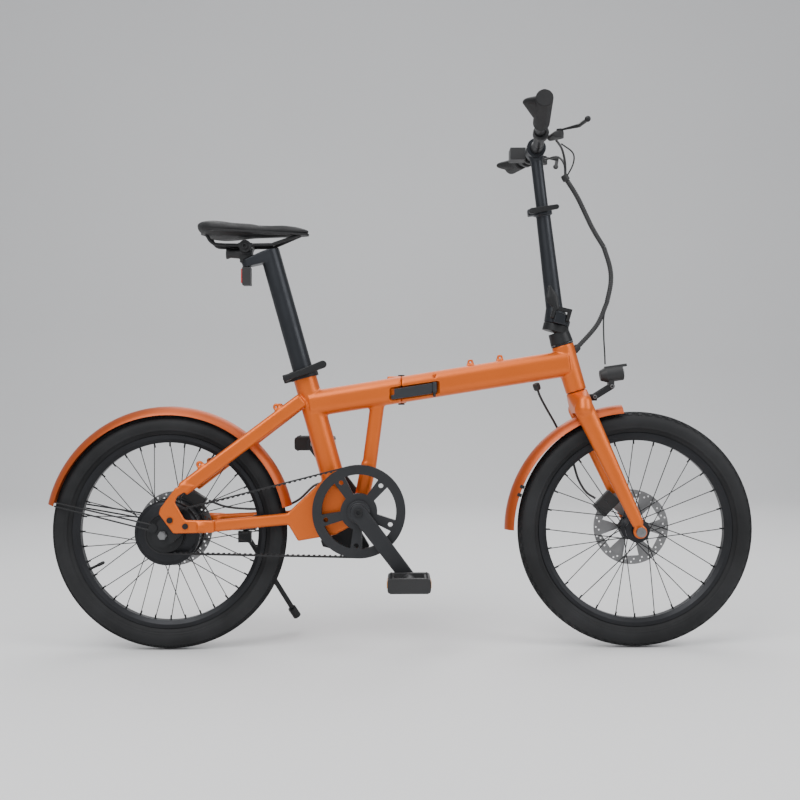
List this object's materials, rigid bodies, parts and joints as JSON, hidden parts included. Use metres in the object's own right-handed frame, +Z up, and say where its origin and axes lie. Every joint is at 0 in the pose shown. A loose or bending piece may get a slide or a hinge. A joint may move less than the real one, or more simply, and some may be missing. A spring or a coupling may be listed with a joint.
{
  "type": "folding bicycle",
  "caption": "Folding bicycle with a hinged main tube, folding handle post, belt drive, rear hub motor, disc brakes and fenders.",
  "frame": {"origin": "on the ground, midway along the bicycle's length and in its middle plane", "axes": "+X forward along the length, +Y to the rider's left, +Z up"},
  "size_m": [1.482, 0.6046, 1.0913],
  "materials": {
    "frame_orange": "satin metallic orange paint on aluminium",
    "fender_orange": "satin orange paint on aluminium",
    "black_metal": "satin black",
    "post_grey": "anodised dark grey",
    "crank_black": "matte charcoal",
    "silver_steel": "brushed",
    "alloy_black": "anodised black",
    "tyre_rubber": "matte",
    "belt_rubber": "matte",
    "grip_rubber": "soft matte",
    "plastic_black": "moulded",
    "cable_black": "ribbed",
    "saddle_leather": "soft grain",
    "battery_cell": "smooth",
    "lever_slate": "satin slate",
    "red_lens": "translucent red"
  },
  "bodies": {
    "rear_frame": {"rear_frame": "frame_orange", "rear_stays": "frame_orange", "dropouts": "frame_orange", "dropout_bolts": "black_metal", "hinge_pin": "black_metal", "rear_axle": "silver_steel", "bottom_bracket": "black_metal", "rear_fender": "fender_orange", "fender_stays": "black_metal", "rear_caliper": "alloy_black", "rear_brake_hose": "cable_black", "seat_collar": "black_metal", "kickstand_bracket": "black_metal", "rest_foot": "black_metal", "drive_belt": "belt_rubber"},
    "seat_lever": {"seat_lever": "black_metal"},
    "kickstand": {"kickstand_leg": "black_metal"},
    "seat_post": {"seat_post": "post_grey", "battery": "battery_cell", "saddle_clamp": "black_metal", "saddle_rails": "black_metal", "saddle_shell": "plastic_black", "saddle_cover": "saddle_leather", "rear_light": "red_lens"},
    "rear_wheel": {"rear_tyre": "tyre_rubber", "rear_rim": "alloy_black", "rear_spokes": "black_metal", "motor_hub": "alloy_black", "rear_rotor": "silver_steel"},
    "rear_sprocket": {"rear_sprocket": "silver_steel"},
    "crankset": {"chainring": "crank_black", "crank_arms": "crank_black", "pedal_spindles": "silver_steel"},
    "right_pedal": {"right_pedal": "plastic_black"},
    "left_pedal": {"left_pedal": "plastic_black"},
    "front_frame": {"front_frame": "frame_orange", "headset": "black_metal", "control_cables": "cable_black"},
    "frame_latch": {"frame_latch": "lever_slate"},
    "fork": {"fork": "frame_orange", "front_fender": "fender_orange", "front_axle": "silver_steel", "front_caliper": "alloy_black", "stem_base": "black_metal", "lamp_bracket": "black_metal"},
    "headlight": {"headlight": "plastic_black"},
    "front_wheel": {"front_tyre": "tyre_rubber", "front_rim": "alloy_black", "front_spokes": "black_metal", "front_hub": "alloy_black", "front_rotor": "silver_steel"},
    "handle_post": {"handle_post": "post_grey"},
    "stem_latch": {"stem_latch": "black_metal"},
    "collar_lever": {"collar_lever": "black_metal"},
    "bar_post": {"bar_post": "post_grey", "handlebar": "alloy_black", "grips": "grip_rubber", "display": "plastic_black"},
    "right_brake_lever": {"right_brake_lever": "alloy_black"},
    "left_brake_lever": {"left_brake_lever": "alloy_black"}
  },
  "joints": [
    {"name": "frame_fold", "type": "hinge", "parent": "rear_frame", "child": "front_frame", "pos_m": [0.00403, 0.042, 0.54267], "axis": [0, 0, 1], "range_deg": [0, 160]},
    {"name": "steering", "type": "hinge", "parent": "front_frame", "child": "fork", "pos_m": [0.37293, 0, 0.5375], "axis": [-0.2823, 0, 0.9593], "range_deg": [-45, 45], "deforming": ["control_cables"]},
    {"name": "front_wheel_spin", "type": "hinge", "parent": "fork", "child": "front_wheel", "pos_m": [0.49403, 0, 0.247], "axis": [0, 1, 0], "continuous": true},
    {"name": "rear_wheel_spin", "type": "hinge", "parent": "rear_frame", "child": "rear_wheel", "pos_m": [-0.48497, 0, 0.247], "axis": [0, 1, 0], "continuous": true},
    {"name": "crank_spin", "type": "hinge", "parent": "rear_frame", "child": "crankset", "pos_m": [-0.08497, 0, 0.291], "axis": [0, -1, 0], "continuous": true},
    {"name": "sprocket_spin", "type": "hinge", "parent": "rear_frame", "child": "rear_sprocket", "pos_m": [-0.48497, 0, 0.247], "axis": [0, -1, 0], "continuous": true},
    {"name": "right_pedal_spin", "type": "hinge", "parent": "crankset", "child": "right_pedal", "pos_m": [0.01733, -0.122, 0.15523], "axis": [0, 1, 0], "continuous": true},
    {"name": "left_pedal_spin", "type": "hinge", "parent": "crankset", "child": "left_pedal", "pos_m": [-0.18728, 0.122, 0.42677], "axis": [0, 1, 0], "continuous": true},
    {"name": "kickstand_fold", "type": "hinge", "parent": "rear_frame", "child": "kickstand", "pos_m": [-0.33497, 0.065, 0.232], "axis": [0, 1, 0], "range_deg": [0, 105]},
    {"name": "seat_height", "type": "slide", "parent": "rear_frame", "child": "seat_post", "axis": [-0.2656, 0, 0.9641], "range_m": [-0.13, 0.03]},
    {"name": "seat_lever_turn", "type": "hinge", "parent": "rear_frame", "child": "seat_lever", "pos_m": [-0.23621, 0, 0.56737], "axis": [0, 1, 0], "range_deg": [-90, 0]},
    {"name": "frame_latch_turn", "type": "hinge", "parent": "front_frame", "child": "frame_latch", "pos_m": [0.07303, -0.023, 0.547], "axis": [0, 0, 1], "range_deg": [0, 90]},
    {"name": "stem_fold", "type": "hinge", "parent": "fork", "child": "handle_post", "pos_m": [0.33165, 0.033, 0.67775], "axis": [0.9703, 0, -0.2419], "range_deg": [-180, 0]},
    {"name": "stem_latch_turn", "type": "hinge", "parent": "handle_post", "child": "stem_latch", "pos_m": [0.33503, -0.031, 0.69134], "axis": [0.9703, 0, -0.2419], "range_deg": [0, 100]},
    {"name": "bar_height", "type": "slide", "parent": "handle_post", "child": "bar_post", "axis": [-0.1149, 0, 0.9934], "range_m": [-0.06, 0.04]},
    {"name": "collar_lever_turn", "type": "hinge", "parent": "handle_post", "child": "collar_lever", "pos_m": [0.27812, 0, 0.91417], "axis": [0, 1, 0], "range_deg": [0, 90]},
    {"name": "headlight_tilt", "type": "hinge", "parent": "fork", "child": "headlight", "pos_m": [0.44593, 0, 0.5475], "axis": [0, 1, 0], "range_deg": [-15, 15]},
    {"name": "right_brake_pull", "type": "hinge", "parent": "bar_post", "child": "right_brake_lever", "pos_m": [0.32289, -0.122, 1.04929], "axis": [0, 0, 1], "range_deg": [-18, 0], "stiffness_Nm_per_rad": 1.5},
    {"name": "left_brake_pull", "type": "hinge", "parent": "bar_post", "child": "left_brake_lever", "pos_m": [0.32289, 0.122, 1.04929], "axis": [0, 0, 1], "range_deg": [0, 18], "stiffness_Nm_per_rad": 1.5}
  ],
  "couplings": [
    {"joint": "sprocket_spin", "follows": "crank_spin", "ratio": 2.4091}
  ]
}
